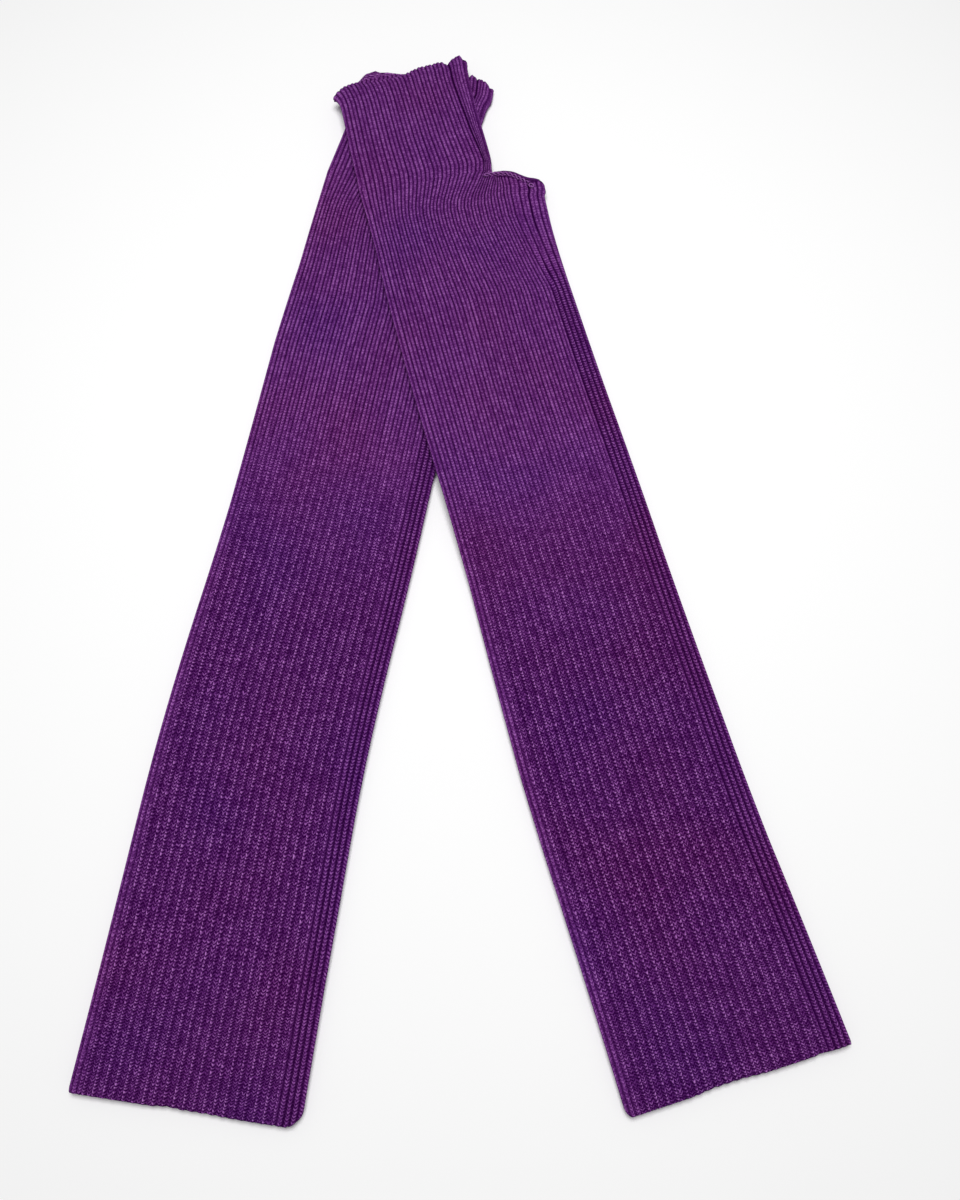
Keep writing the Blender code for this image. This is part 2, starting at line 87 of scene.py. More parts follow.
# Where the pair lies, in millimetres from the arm end unless a column says otherwise.
# heading: distance, lean from +Y towards +X in degrees
# sides, hand: distance, fold edge and seam edge of the sleeve or hand part from the middle line
# corners: radius at the fold side and at the seam side of the arm end
# valley: distance, how far inside the seam edge it runs, depth
# groove: distance, how far inside the hand's seam edge it runs, depth
# hand_end: v, how far the front and the back layer reach past the nominal length
# arm_end: v, how far the arm end reaches past its nominal length
# folds: u and v of the middle, half length, half width, height, turn from across in degrees
# leans_to_fold: whether the stretched ribs lean towards the fold side or the seam side
# open: distance, share of the ribs that lie stretched open
UPPER = {
    "name": "upper_arm_warmer",
    "chain": "upper_thumb_edge",
    "start": (91.7 * MM, -211.45 * MM),
    "heading": ((0, -16.5), (60, -17.4), (110, -15.4), (180, -14.4), (250, -15.8),
                (310, -14.6), (350, -12.2), (385, -12.6), (444, -15.5)),
    "sides": ((0, 39.6, 39.2), (70, 39.2, 38.4), (115, 39.6, 38.4), (190, 38.8, 37.8),
              (240, 39.4, 38), (300, 39.4, 38.6), (346, 39.2, 38.8),
              (366, 39.8, 39.4), (371, 40.2, 40.5), (380, 40.6, 40.9)),
    "hand": ((380, 40.6, 20), (390, 40.6, 20.1), (404, 40.5, 20), (420, 39.9, 20.6),
             (430, 39.5, 21.2), (436, 39.9, 21.9), (440, 40.6, 22.7), (444, 41.8, 23)),
    "corners": (2.6, 1.6),
    "leans_to_fold": True,
    "valley": ((0, 7.5, 0.7), (60, 8, 0.5), (120, 8.5, 0.3), (200, 8.5, 0.3),
               (330, 7.5, 0.75), (380, 7.2, 0.8)),
    "groove": ((380, 3, 0), (384, 3.2, 0.7), (400, 4.8, 1.1), (444, 8.6, 1.1)),
    "hand_end": ((-42, -6, -6), (-39, -3.7, -3.7), (-36, -2, -2.2), (-31, -1.1, -1.6),
                 (-21, -2.4, -2.4), (-12, -3.1, -2.8), (-8, -2.6, -2.2), (0, -0.3, -0.5),
                 (11, -0.1, -0.3), (13.7, -1.6, -1.2), (17.7, 0.8, 0.4), (20.8, 2.4, 1.8),
                 (22, -3.1, -2.6), (23.5, -6.4, -5.4)),
    "arm_end": ((-40, 0.3), (-20, 0.2), (-14, -0.4), (-9, -0.8), (1, -0.7), (5, -0.4), (11, 0),
                (18, 0.3), (25, 0), (29.5, -0.5), (33.5, 0.6), (38, 1)),
    "folds": ((60, 5, 30, 7, 0.25, 3), (150, -12, 26, 9, -0.25, -6), (236, 8, 34, 8, 0.3, 8),
              (318, -6, 30, 8, -0.2, -8), (362, 22, 9, 14, 0.45, 80), (352, 30, 5, 22, -0.4, 84)),
    "open": ((0, 0.9), (150, 1), (205, 0.7), (250, 0.1), (300, 0), (444, 0)),
}
LOWER = {
    "name": "lower_arm_warmer",
    "chain": "lower_thumb_edge",
    "start": (-90.2 * MM, -220.45 * MM),
    "heading": ((0, 8.2), (90, 7.7), (130, 10.2), (170, 12), (215, 10.6),
                (300, 10.2), (360, 12.2), (400, 12.6), (444, 9.5)),
    "sides": ((0, 39, 38.4), (40, 38.8, 38), (130, 38.6, 38.2), (215, 38.4, 38.6),
              (290, 39.6, 39), (330, 38.8, 39.8), (380, 39.8, 40.9)),
    "hand": ((380, 39.8, 21.6), (400, 38.6, 21.4), (420, 37.8, 21.8), (430, 38.4, 22.6),
             (436, 39.5, 24), (444, 40.8, 23.8)),
    "corners": (0.9, 6),
    "leans_to_fold": False,
    "valley": ((0, 8, 0.12), (200, 8.5, 0.15), (380, 9, 0.2)),
    "groove": ((380, 3, 0), (384, 3.2, 0.6), (400, 4.8, 0.8), (444, 8, 0.8)),
    "hand_end": ((-41, -10.2, -9.2), (-38.2, -9.4, -1.4), (-36.6, -7.5, -0.6), (-34, -6.3, 1.2),
                 (-31.8, -5.7, 0.5), (-28, -4.1, 1.2), (-23.6, -2, 1.2), (-19.8, -1.7, 1.4),
                 (0, -0.2, 0.3), (11, 1.6, 1.4), (13.2, 3.2, 2.6), (16, 2, 1.6),
                 (20, 0, -0.2), (22.8, -3, -3), (24, -5.6, -5.2)),
    "arm_end": ((-38, 0.4), (-30, 0.7), (-22, 0.3), (-12, -0.1), (-6, -0.7), (-1, -0.4), (8, -0.4),
                (20, 0), (27, 0.1), (30, -0.2), (36, 0.2)),
    "folds": ((52, 4, 34, 2.2, 0.32, 1), (238, 0, 36, 8, -0.3, 4), (130, -10, 28, 9, 0.25, -5),
              (185, 8, 26, 8, -0.2, 5), (300, -6, 26, 8, 0.25, 6), (20, 26, 10, 16, -0.3, 82)),
    "open": ((0, 0.9), (170, 1), (225, 0.7), (265, 0.1), (300, 0), (444, 0)),
}

# Camera
SENSOR = 36.0
LENS = 31.26
CAMERA_AT = (5.9 * MM, -180.15 * MM, 378.0 * MM)
CAMERA_PITCH = 70.0

THUMB_AT = 380 * MM
# The hand part's ribs gather from this far before the thumb opening, over this length, and
# these ribs beyond the thumb's corner with them
REGATHER_START = 20 * MM
REGATHER_LENGTH = 26 * MM
REGATHER_RIBS = 4
# Above the thumb the hand's seam rounds off over this length. Over the next three the uneven
# edges of the thumb, the hand end and the arm end fade into the even rows
SEAM_ROUNDING = 9 * MM
SHELF_REACH = 24 * MM
HAND_END_REACH = 16 * MM
ARM_END_REACH = 12 * MM
# Half width of the seam's valley. In ribs, half width of the hand's groove and of the low bank
# one rib away on either side, and the bank's height as a share of the groove's depth
VALLEY_WIDTH = 0.8 * MM
GROOVE_WIDTH = 0.45
BANK_WIDTH = 0.5
BANK_SHARE = 0.3
# Over how many ribs the stretched look comes in at the fold. Then where a look fades, counted in
# ribs from its border, and over how many: the stretched look's end and the pressing, both at the
# tight ribs, and the strip beyond the hand's groove
OPEN_FADE = 2
OPEN_END = (0.3, 0.9)
PRESS_FADE = (-0.2, 0.4)
STRIP_FADE = (0.3, 0.5)
# Share of the mean relief by which the rounded sides stand off. Share of a valley's depth that
# darkens it as painted shade and that the inside follows, and the most that the inside sinks
SIDE_RELIEF = 0.75
VALLEY_SHARE = 0.5
INSIDE_DIP = 0.5 * MM

# Thumb's edge: v, and how far the front and the back layer end below THUMB_AT
SHELF = ((17.5, 0, 0), (19, 2.6, 0.3), (20.8, 4.5, 0.6), (25.2, 5.2, 0.2), (28.6, 7, 1.1),
         (31.3, 9, 3.8), (34.5, 9.7, 6), (37.5, 8.6, 6.4), (39.5, 8.4, 7.2), (41.3, 11, 11))
# Middle of the cast-off edge on the front and on the back layer: v, u, height
CHAIN_FRONT = ((14.6, 375.6, 4.75), (17.5, 376.2, 4.6), (20.8, 376.6, 4.2), (25.2, 375.9, 4),
               (28.4, 374, 3.9), (31.3, 371.1, 3.9), (33.4, 369, 3.9))
CHAIN_BACK = ((20.9, 380.1, 0.95), (25.2, 380.5, 0.95), (28.8, 379.4, 0.95), (31.8, 376.5, 0.95),
              (34.8, 374.6, 0.95), (37.6, 374.3, 0.95), (39.6, 373.2, 0.95))
# Its ring: u, v, height, radius
CHAIN_RING = (367.3, 34.3, 4.5, 1)
# Depth of the hand end's scallops: v, share of the full depth
SCALLOP_SHARE = ((-30, 0.15), (-8, 0.25), (2, 0.8), (12, 1))
SCALLOP_POWER = 0.7
ARM_WAVE = 0.25 * MM
STRAND_RADIUS = 0.36 * MM
RIM_RADIUS = 0.75 * MM
STRAND_SWING = 0.66 * MM
STRAND_RISE = 0.36 * MM
YARN_SIDES = 7
# Points on the edge's path, of which so many are averaged, on one twist and on the ring
PATH_POINTS = 200
PATH_AVERAGE = 31
TWIST_POINTS = 16
RING_POINTS = 24

# Rows of the surface: the first and the last even one, counted in row spacings from the arm end
# and from the thumb; how many more up to the thumb and in the hand part, and how many lips
# before its end they stop. The inside has one row in three
FIRST_ROW = 1.2
ROWS_LEFT = 3.2
SETTLE_ROWS = 7
HAND_ROWS = 30
LAST_ROW = 1.6
INNER_STEP = 3
# An open edge rounds off through these angles, its first row drawn back by this share of a lip
LIP_ANGLES = np.radians(np.array([12.0, 34.0, 60.0, 90.0]))
LIP_SQUEEZE = 0.25
# Round the hand's sewn side: angles and rib coordinates, how much of a rib's height the side
# has, and how far it thins at the end
SIDE_ANGLES = np.radians(np.array([[45.0, 0.0, -45.0]]))
SIDE_RIBS = HAND_RIBS + np.array([0.12, 0.25, 0.38])
SIDE_HEIGHT = 0.4
SIDE_THINNING = 0.35
# Cavity and stretch of the smooth inside, where it shows past the front layer: the low cavity
# paints it lighter, with a painted highlight on its crests. Then the cavity of a plain strand and
# of what lies hidden, of the straight strand inside the thumb's loops, and of the rim on the back
# layer; the two last paint the strands darker as shade
INSIDE_LOOK = (0.1, 1.0)
PLAIN_CAVITY = 0.4
CORE_CAVITY = 1.0
RIM_CAVITY = 0.8

# How the upper arm warmer rises beside the lower one, on a grid of points round its edge
LIFT_MARGIN = 2.5 * MM
LIFT_RAMP = 26 * MM
LIFT_GRID = 2 * MM
LIFT_REACH = 40 * MM
EDGE_POINTS = (24, 8)

# Sizes of the yarn's patterns. Dyed yarn drifts in colour over several centimetres. Rows wander
# over half a dozen stitches, and a stitch, 1.3 mm high, against the next. Fibres of 0.02 mm are
# too fine to show, so they are drawn as coarse as it takes, and finer on the cast-off strands
PATCH_SIZE = 55 * MM
WANDER_SIZE = 9 * MM
STITCH_SIZE = 1.3 * MM
FIBRE_SIZE = 0.45 * MM
PLY_FIBRE_SIZE = 0.3 * MM
YARN_BUMP = 0.45 * MM
SHEEN = (0.70, 0.35, 0.82)
# Nodes that a chain may hold besides maths: kind, the inputs that a step fills, settings. A
# noise's scale is 1 / the size of its features
CHAIN_NODES = {
    "SHARE": ("ShaderNodeMath", (0, 1), {"operation": "MULTIPLY", "use_clamp": True}),
    "RANGE": ("ShaderNodeMapRange", range(5), {}),
    "SMOOTH_RANGE": ("ShaderNodeMapRange", range(5), {"interpolation_type": "SMOOTHSTEP"}),
    "BLEND": ("ShaderNodeMix", (0, 2, 3), {}),
    "PLACE": ("ShaderNodeCombineXYZ", (0, 1), {}),
    "NOISE": ("ShaderNodeTexNoise", ("Vector", "Scale", "Detail"), {}),
    "RANDOM": ("ShaderNodeTexWhiteNoise", ("Vector",), {"noise_dimensions": "2D"}),
}
# Steps that make the knitting's shade and height: a name, what it is, and its inputs
KNIT_STEPS = (
    # Stretch below 0 says how far a rib is pressed into one ridge
    ("pressed", "SHARE", "stretch", -1), ("stretch", "SHARE", "stretch", 1),
    # Hand tension: rows and columns wander by a fraction of a stitch
    ("slow", "NOISE", "place", 1 / WANDER_SIZE, 1),
    ("quick", "NOISE", "place", 1 / STITCH_SIZE, 1), ("rows", "MULTIPLY_ADD", "slow", 1.6, "rows"),
    ("jitter", "MULTIPLY_ADD", "stretch", 0.6, 0.5),
    ("rows", "MULTIPLY_ADD", "quick", "jitter", "rows"),
    # Distance from the middle of the wale, from 0 to 0.5, of which a pressed rib has one
    ("sway", "MULTIPLY_ADD", "quick", 0.20, -0.10), ("wale", "MULTIPLY_ADD", "ribs", 2, "sway"),
    ("wale", "FRACT", "wale"), ("wale", "ADD", "wale", -0.5), ("side", "ABSOLUTE", "wale"),
    ("ridge", "ADD", "ribs", -0.04), ("ridge", "MULTIPLY_ADD", "quick", 0.08, "ridge"),
    ("ridge", "FRACT", "ridge"), ("ridge", "ADD", "ridge", -0.5), ("ridge", "ABSOLUTE", "ridge"),
    ("side", "BLEND", "pressed", "side", "ridge"),
    # A leg of a V slants outwards, but lies nearly straight on the stretched ribs' crest
    ("crest", "RANGE", "cavity", 0.30, 0.02, 0, 1), ("open_crest", "MULTIPLY", "crest", "stretch"),
    ("slant", "BLEND", "open_crest", -1.5, -0.3), ("slant", "MULTIPLY", "side", "slant"),
    ("slanted", "ADD", "rows", "slant"), ("along", "FRACT", "slanted"),
    ("along", "MULTIPLY_ADD", "along", 2, -1), ("along", "MULTIPLY", "along", "along"),
    ("along", "SUBTRACT", 1, "along"),
    # Closed ribs have a line, pressed ones beads and stretched ones flat, even legs
    ("peak", "POWER", "along", 2.5), ("line", "MULTIPLY_ADD", "along", 0.18, 0.325),
    ("beads", "MULTIPLY_ADD", "peak", 0.46, 0.11), ("flat", "POWER", "along", 3.5),
    ("flat", "MULTIPLY", "flat", 0.62), ("line", "BLEND", "pressed", "line", "beads"),
    ("run", "BLEND", "stretch", "line", "flat"), ("middle", "RANGE", "side", 0, 0.10, 0.8, 1),
    ("edge", "MULTIPLY_ADD", "stretch", 0.40, 0.26),
    ("border", "SMOOTH_RANGE", "side", 0.15, 0.50, 1, "edge"),
    ("leg", "MULTIPLY", "run", "middle"), ("leg", "MULTIPLY", "leg", "border"),
    # Painted highlight on the stretched rib's one wale that stands up, in short bars
    ("crest_highlight", "MULTIPLY_ADD", "peak", 0.28, 0.04), ("crest_highlight", "MULTIPLY", "open_crest", "crest_highlight"),
    # Painted shade: between the ribs less light reaches the yarn, so the shade is darkened there
    ("groove", "POWER", "cavity", 2.6), ("groove", "MULTIPLY_ADD", "groove", -0.97, 1.14),
    # No two stitches are alike, and every column drifts lighter and darker along its rows
    ("number", "MULTIPLY", "ribs", 2), ("number", "FLOOR", "number"),
    ("stitch", "FLOOR", "slanted"), ("stitch", "PLACE", "number", "stitch"),
    ("unlike", "RANDOM", "stitch"), ("unlike", "ADD", "unlike", -0.5),
    ("spread", "MULTIPLY_ADD", "stretch", 0.35, 0.35),
    ("unlike", "MULTIPLY_ADD", "unlike", "spread", 1), ("number", "MULTIPLY", "number", 7.3),
    ("drift", "MULTIPLY", "rows", 0.06), ("drift", "PLACE", "number", "drift"),
    ("drift", "NOISE", "drift", 1, 1), ("drift", "MULTIPLY_ADD", "drift", 0.6, 0.7),
    ("unlike", "MULTIPLY", "unlike", "drift"),
    # Fibres
    ("fine", "NOISE", "place", 1 / FIBRE_SIZE, 2), ("fibres", "ADD", "fine", -0.5),
    ("rough", "MULTIPLY_ADD", "stretch", 0.1, 1.1), ("light", "ADD", "leg", "crest_highlight"),
    ("light", "MULTIPLY", "light", "unlike"),
    ("shade", "MULTIPLY_ADD", "fibres", "rough", "light"),
    ("shade", "MULTIPLY", "shade", "groove"), ("height", "MULTIPLY", "leg", 0.8),
    ("height", "MULTIPLY_ADD", "fine", 0.25, "height"),
)
# The same for the strands of the cast-off edge: painted light on the twist's ridges,
# painted shade between its plies, and more painted shade inside the loops
CAST_OFF_STEPS = (
    ("twist", "MULTIPLY_ADD", "ribs", 3, "rows"), ("ply", "PINGPONG", "twist", 0.5),
    ("fine", "NOISE", "place", 1 / PLY_FIBRE_SIZE, 2),
    ("shade", "MULTIPLY_ADD", "ply", 0.9, "fine"),
    # Painted shade, darker the deeper a strand lies inside the loops
    ("reach", "RANGE", "cavity", PLAIN_CAVITY, 1, 1.05, 0), ("shade", "MULTIPLY", "shade", "reach"),
)
# How either one's shade is tinted, and mixed towards a painted highlight as it grows brighter
TINT_STEPS = (
    ("patch", "NOISE", "place", 1 / PATCH_SIZE, 1), ("red", "RANGE", "patch", 0.5, 0.7, 0, 0.45),
    ("blue", "RANGE", "patch", 0.46, 0.3, 0, 0.38), ("painted_highlight", "RANGE", "shade", 0.42, 1.2, 0, 0.65),
)

# Stage
FLOOR_HALF = 2.5
FLOOR_DROP = 0.05 * MM
LAMP_SIZE = 0.45
LAMP_ENERGY = 7.1
LAMP_AT = (0.0, 0.06, 0.9)
WORLD_LIGHT = 0.25


def srgb(code):
    """Turn an sRGB hex code into a linear red, green and blue."""
    parts = [int(code[i:i + 2], 16) / 255 for i in (0, 2, 4)]
    return tuple(c / 12.92 if c <= 0.04045 else ((c + 0.055) / 1.055) ** 2.4 for c in parts)


def a_length(name, description, metres):
    """A length that a user may change."""
    return bpy.props.FloatProperty(name=name, description=description, default=metres,
                                   unit="LENGTH")


def a_colour(name, description, code):
    """A colour that a user may change, from its sRGB hex code."""
    return bpy.props.FloatVectorProperty(name=name, description=description, subtype="COLOR",
                                         default=srgb(code), min=0, max=1)


class KnitSizes(bpy.types.PropertyGroup):
    """Sizes of the knitting that both arm warmers share."""

    length: a_length("Length", "From the arm end to the hand end", 0.444)
    back_wall: a_length("Back layer", "Thickness of the layer underneath", 0.0015)
    inner_gap: a_length("Gap inside", "Height of the flattened inside", 0.0008)
    groove_height: a_length("Groove height", "Height of the deepest groove above the surface",
                            0.0034)
    rib_height: a_length("Rib height", "Relief of the ribs on the front", 0.0009)
    back_relief: a_length("Rib height underneath", "Relief of the ribs that rest on the surface",
                          0.00035)
    clearance: a_length("Clearance", "Gap between the two arm warmers", 0.0003)
    course: a_length("Course", "Height of one row of stitches", 0.00131)
    tight_course: a_length("Tight course", "Height of a row in the arm end's border", 0.00105)
    tight_reach: a_length("Tight border", "Length of the arm end's border", 0.038)
    scallop: a_length("Scallop", "Depth of the scallops along the hand end", 0.0006)
    lip: a_length("Rolled edge", "Length over which an open edge rounds off", 0.0012)
    row: a_length("Row spacing", "Distance between rows of the surface", 0.0040)
    loop: a_length("Cast-off loop", "Length of one loop of the thumb's edge", 0.0021)


class KnitColours(bpy.types.PropertyGroup):
    """Colours of the yarn, of its painted shade and highlight, and of the surface it lies on."""

    yarn: a_colour("Yarn", "Colour of the yarn on the ribs", "9145a4")
    # Painted shade: the yarn's colour where little light reaches it, between stitches
    deep: a_colour("Between stitches", "Colour of the yarn between stitches", "2f003e")
    # Painted highlight: the pale colour that the brightest lit yarn is mixed towards
    highlight_colour: a_colour("Fibres", "Colour of loose fibre ends", "c48ad0")
    warm: a_colour("Warm patches", "Multiplies the yarn where it looks redder", "ffd8dc")
    cool: a_colour("Cool patches", "Multiplies the yarn where it looks bluer", "d4dcff")
    floor: a_colour("Floor", "Colour of the surface", "fcfcfc")


def column(rows, distance, index):
    """Read one column of a table in millimetres at the given distances, in metres."""
    table = np.array(rows, float)
    return np.interp(distance, table[:, 0] * MM, table[:, index])


def ease(value):
    """Ease from 0 to 1: t squared times (3 - 2 t), with t held between 0 and 1."""
    t = np.clip(value, 0.0, 1.0)
    return t * t * (3 - 2 * t)


def both(rows, distance):
    """Read the columns 1 and 2 of a table in millimetres, in metres."""
    return [column(rows, distance, index) * MM for index in (1, 2)]


def hump(value):
    """A soft hump, 1 in the middle: exp(-t^2)."""
    return np.exp(-value ** 2)


def middle_line(warmer, length):
    """Distance, x, y and heading of the middle line: headings summed up in steps of 1 mm."""
    distance = np.arange(0, length + 8 * MM, MM)
    heading = np.radians(column(warmer["heading"], distance, 1))
    x = warmer["start"][0] + np.append(0, np.cumsum(np.sin(heading[:-1])) * MM)
    y = warmer["start"][1] + np.append(0, np.cumsum(np.cos(heading[:-1])) * MM)
    return distance, x, y, heading


def on_floor(warmer, length, u, v):
    """x = line x + v cos(heading), y = line y - v sin(heading)."""
    distance, line_x, line_y, line_heading = middle_line(warmer, length)
    heading = np.interp(u, distance, line_heading)
    x = np.interp(u, distance, line_x) + v * np.cos(heading)
    y = np.interp(u, distance, line_y) - v * np.sin(heading)
    return x, y


def edge_polygon(warmer, length):
    """The arm warmer's edge on the floor, as a closed polygon of points."""
    sleeve = np.linspace(0, THUMB_AT, EDGE_POINTS[0])
    hand = np.linspace(THUMB_AT, length + MM, EDGE_POINTS[1])
    u = np.append(sleeve, hand)
    fold, seam = (np.append(column(warmer["sides"], sleeve, index),
                            column(warmer["hand"], hand, index)) for index in (1, 2))
    x, y = on_floor(warmer, length, np.append(u, u[::-1]), np.append(-fold, seam[::-1]) * MM)
    return np.stack([x, y], axis=1)


def lift_map(polygon):
    """Share of the lift on a grid of points: 1 over the polygon, easing to 0 beside it."""
    low = polygon.min(0) - LIFT_REACH
    high = polygon.max(0) + LIFT_REACH
    x = np.arange(low[0], high[0], LIFT_GRID)
    y = np.arange(low[1], high[1], LIFT_GRID)
    points = np.stack(np.meshgrid(x, y, indexing="ij"), axis=2).reshape(-1, 2)
    start = polygon[None, :, :]
    edge = np.roll(polygon, -1, axis=0)[None, :, :] - start
    to_point = points[:, None, :] - start
    along = (to_point * edge).sum(2) / np.maximum((edge * edge).sum(2), 1e-12)
    nearest = to_point - edge * np.clip(along, 0, 1)[:, :, None]
    gap = np.sqrt((nearest ** 2).sum(2)).min(1)
    py = points[:, None, 1]
    crosses = (start[:, :, 1] > py) != (start[:, :, 1] + edge[:, :, 1] > py)
    rise = np.where(edge[:, :, 1] == 0, 1e-12, edge[:, :, 1])
    crossing_x = start[:, :, 0] + (py - start[:, :, 1]) / rise * edge[:, :, 0]
    inside = (crosses & (points[:, None, 0] < crossing_x)).sum(1) % 2 == 1
    beyond = np.where(inside, 0.0, gap)
    share = 1 - ease((beyond - LIFT_MARGIN) / LIFT_RAMP)
    return low, share.reshape(len(x), len(y))


def read_map(lift, x, y):
    """Read a map at points, straight between its four nearest values."""
    low, share = lift
    across = np.clip((x - low[0]) / LIFT_GRID, 0, share.shape[0] - 1.001)
    along = np.clip((y - low[1]) / LIFT_GRID, 0, share.shape[1] - 1.001)
    i = across.astype(int)
    j = along.astype(int)
    a = across - i
    b = along - j
    return ((share[i, j] * (1 - a) + share[i + 1, j] * a) * (1 - b)
            + (share[i, j + 1] * (1 - a) + share[i + 1, j + 1] * a) * b)


def tighten(rib, u):
    """Distance of a rib in rib widths: even ribs, then narrower or wider ones beyond the last
    even one, with the change rounded as (past + sqrt(past^2 + rounding^2)) / 2."""
    even = SLEEVE_RIBS - TIGHT_RIBS
    past = rib - even
    ramp = 0.5 * (past + np.sqrt(past ** 2 + TIGHT_ROUNDING ** 2))
    start = 0.5 * (math.sqrt(even ** 2 + TIGHT_ROUNDING ** 2) - even)
    return rib - column(TIGHT_SHARE, u, 1) * (ramp - start)


def rib_level(warmer, rib, share_open, pressed):
    """Rib height from 0 to 1 at a rib coordinate, between the closed, the open and the pressed
    section. A pressed rib is one ridge: sin(pi phase)."""
    table = np.array(RIB_SECTION)
    phase = rib % 1.0 if warmer["leans_to_fold"] else 1 - rib % 1.0
    closed = np.interp(phase, table[:, 0], table[:, 1])
    stretched = np.interp(phase, table[:, 0], table[:, 2])
    closed = closed + (np.sin(np.pi * phase) - closed) * pressed
    return closed + (stretched - closed) * share_open


def fold_height(warmer, u, v):
    """Sum of soft mounds and troughs: height times exp(-(p / length)^2 - (q / width)^2)."""
    total = np.zeros(np.broadcast(u, v).shape)
    for at_u, at_v, length, width, height, turn in warmer["folds"]:
        along = u - at_u * MM
        over = v - at_v * MM
        angle = math.radians(turn)
        p = over * math.cos(angle) + along * math.sin(angle)
        q = along * math.cos(angle) - over * math.sin(angle)
        total += height * MM * hump(p / (length * MM)) * hump(q / (width * MM))
    return total


def courses(u, sizes):
    """Rows of stitches from the arm end to u: u / tight course, then u / course."""
    tight = np.minimum(u, sizes.tight_reach)
    return tight / sizes.tight_course + np.maximum(u - sizes.tight_reach, 0) / sizes.course


def by_layer(rows, v, share):
    """Read column 1 of a table on the front layer (share 1), and column 2 on the back one (0)."""
    front, back = both(rows, v)
    return back + (front - back) * share


def shelf(v, share):
    """u of the thumb's edge, which falls away to a round corner at the seam side."""
    return THUMB_AT - by_layer(SHELF, v, share)


def thumb_corner(warmer, sizes):
    """v where the hand's seam meets the thumb's edge."""
    u = np.array([[THUMB_AT]])
    return section(warmer, sizes, u, np.array([[float(HAND_RIBS)]]), False)["v"]


def section(warmer, sizes, u, rib, hand):
    """v, z, the inner wall's v and z, and the looks, for a grid of stations and rib coordinates.

    The outline is a slot: flat above and below, round at both sides. An arc length s is found
    from the rib, and v = -fold + r (1 - cos(s / r)) at the side, then grows with s. The knitting
    stands off the slot along its normal by the rib's height.
    """
    under = rib > SLEEVE_RIBS
    half = np.where(under, 2 * SLEEVE_RIBS - rib, rib)
    radius = (sizes.groove_height - sizes.back_relief) / 2
    middle = sizes.back_relief + radius
    side_relief = (sizes.rib_height + sizes.back_relief) / 2 * SIDE_RELIEF
    quarter = radius * math.pi / 2
    fold, seam = both(warmer["sides"], u)
    flat = fold + seam - 2 * side_relief - 2 * radius
    s = (flat + 2 * quarter) * tighten(half, u) / tighten(float(SLEEVE_RIBS), u)

    # Towards the thumb the ribs gather until they have the hand part's spacing
    hand_fold, hand_seam = both(warmer["hand"], u)
    offset = quarter + hand_fold - side_relief - radius
    s_groove = offset + hand_seam - column(warmer["groove"], u, 1) * MM
    s_end = offset + hand_seam - radius * ease((u - THUMB_AT) / SEAM_ROUNDING)
    before = s_groove * np.minimum(half, GROOVE_RIB) / GROOVE_RIB
    after = (s_end - s_groove) * (half - GROOVE_RIB) / (HAND_RIBS - GROOVE_RIB)
    blend = ease((u - THUMB_AT + REGATHER_START) / REGATHER_LENGTH)
    blend = blend * ease((HAND_RIBS + REGATHER_RIBS - half) / REGATHER_RIBS)
    gathered = s + (before + np.maximum(after, 0) - s) * blend
    if hand:
        s, fold, edge, rows = gathered, hand_fold, hand_seam, warmer["groove"]
        far_turn = np.zeros(s.shape)
        run = np.maximum(s - quarter, 0)
    else:
        edge, rows = seam, warmer["valley"]
        far_turn = np.clip(s - quarter - flat, 0, quarter) / radius
        run = np.clip(s - quarter, 0, flat) + np.where(s > quarter, gathered - s, 0)

    # Height of the ribs along the slot's normal
    even = SLEEVE_RIBS - TIGHT_RIBS
    to_tight = even + OPEN_END[0] - half
    share_open = column(warmer["open"], u, 1) * ease(
        np.minimum(half / OPEN_FADE, to_tight / OPEN_END[1]))
    pressed = column(PRESSED_SHARE, u, 1) * ease((half - even - PRESS_FADE[0]) / PRESS_FADE[1])
    pressed = pressed * (not hand)
    level = rib_level(warmer, rib, share_open, pressed)
    if hand:
        strip = 0.5 * ease((half - GROOVE_RIB - STRIP_FADE[0]) / STRIP_FADE[1])
        level = level + (STRIP_LEVEL - level) * strip
    near_turn = np.clip(s, 0, quarter) / radius
    reach_v = -np.cos(near_turn) + np.sin(far_turn)
    facing = np.sin(near_turn) * np.cos(far_turn) * np.where(under, -1, 1)
    layer = ease((facing + 1) / 2)
    relief = (sizes.back_relief + (sizes.rib_height - sizes.back_relief) * layer) * level
    v = -fold + side_relief + radius + run + reach_v * (radius + relief)
    z = middle + facing * (radius + relief)

    depth = column(rows, u, 2) * MM
    if hand:
        away = np.abs(half - GROOVE_RIB)
        valley = depth * (hump(away / GROOVE_WIDTH) - BANK_SHARE * hump((away - 1) / BANK_WIDTH))
    else:
        valley = depth * hump((seam - v - column(rows, u, 1) * MM) / VALLEY_WIDTH)
    top = np.maximum(facing, 0)
    z = z + top * (fold_height(warmer, u, v) - valley)
    # The cavity paints shade into the yarn between the ribs and, darker, in the valleys, and a
    # painted highlight on the crests
    cavity = 1 - level + VALLEY_SHARE * np.maximum(valley, 0) / sizes.rib_height * top

    narrow = (fold + edge - 2 * sizes.back_wall) / (fold + edge)
    inner_v = -fold + sizes.back_wall + (v + fold) * narrow
    inner_z = (sizes.back_wall + sizes.inner_gap / 2 * (1 + facing)
               - top * np.clip(VALLEY_SHARE * valley, 0, INSIDE_DIP))
    return {"v": v, "z": z, "inner_v": inner_v, "inner_z": inner_z, "cavity": cavity,
            "layer": layer, "stretch": np.broadcast_to(share_open - pressed, v.shape)}


